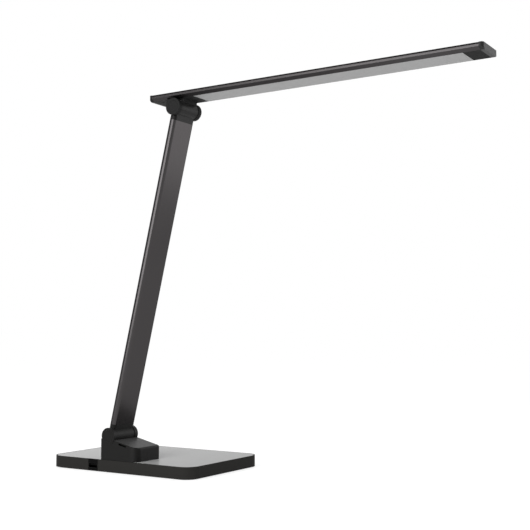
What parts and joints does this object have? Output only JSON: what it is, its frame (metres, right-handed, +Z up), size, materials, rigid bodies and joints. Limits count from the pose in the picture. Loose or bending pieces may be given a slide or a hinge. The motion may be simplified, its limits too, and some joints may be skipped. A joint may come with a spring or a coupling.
{
  "type": "folding desk lamp",
  "caption": "Folding desk lamp: slim tilting bar head on a flat leaning arm, friction hinges, weighted rectangular base with charging port.",
  "frame": {"origin": "on the supporting surface, straight below the lower hinge pin and midway across the arm", "axes": "+X the way the head reaches, +Y along both hinge pins towards the wide side of the base, +Z up"},
  "size_m": [0.5371, 0.1391, 0.4266],
  "materials": {
    "pad_rubber": "matt",
    "steel_black": "satin",
    "base_black": "satin",
    "gloss_black": "polished",
    "steel": "satin",
    "screw_black": "satin",
    "board": "satin",
    "components": "matt",
    "port_metal": "polished",
    "port_white": "satin",
    "bezel_black": "polished",
    "foot_black": "satin",
    "lead_black": "matt",
    "washer": "satin",
    "anodised_dark": "anodised satin",
    "cap_black": "satin",
    "opal_grey": "satin",
    "strip_white": "satin",
    "phosphor": "satin"
  },
  "bodies": {
    "base": {"base_pad": "pad_rubber", "bottom_plate": "steel_black", "base_housing": "base_black", "top_plate": "gloss_black", "ballast_plate": "steel", "bottom_screws": "screw_black", "control_board": "board", "board_screws": "steel", "board_parts": "components", "port_shell": "port_metal", "port_tongue": "components", "port_bezel": "bezel_black", "jack_body": "components", "jack_pin": "port_metal", "touch_board": "board", "touch_ribbon": "port_white", "foot_block": "foot_black", "foot_screws": "steel", "foot_caps": "foot_black", "base_hinge_bolt": "steel", "base_hinge_nut": "steel", "base_lead": "lead_black"},
    "arm": {"base_hinge_washers": "washer", "lower_knuckle": "foot_black", "arm_profile": "anodised_dark", "upper_knuckle": "foot_black", "arm_screws": "screw_black", "arm_lead": "lead_black", "head_hinge_washers": "washer"},
    "head": {"head_bracket": "foot_black", "bracket_caps": "foot_black", "head_hinge_bolt": "steel", "head_hinge_nut": "steel", "bracket_screws": "screw_black", "head_profile": "anodised_dark", "rear_cap": "cap_black", "front_cap": "cap_black", "front_cover": "foot_black", "light_panel": "opal_grey", "strip_board": "strip_white", "diodes": "phosphor", "head_lead": "lead_black"}
  },
  "joints": [
    {"name": "arm_tilt", "type": "hinge", "parent": "base", "child": "arm", "pos_m": [0, 0, 0.0409], "axis": [0, 1, 0], "range_deg": [-45, 55]},
    {"name": "head_tilt", "type": "hinge", "parent": "arm", "child": "head", "pos_m": [0.08968, 0, 0.41017], "axis": [0, 1, 0], "range_deg": [-45, 103.6]}
  ]
}
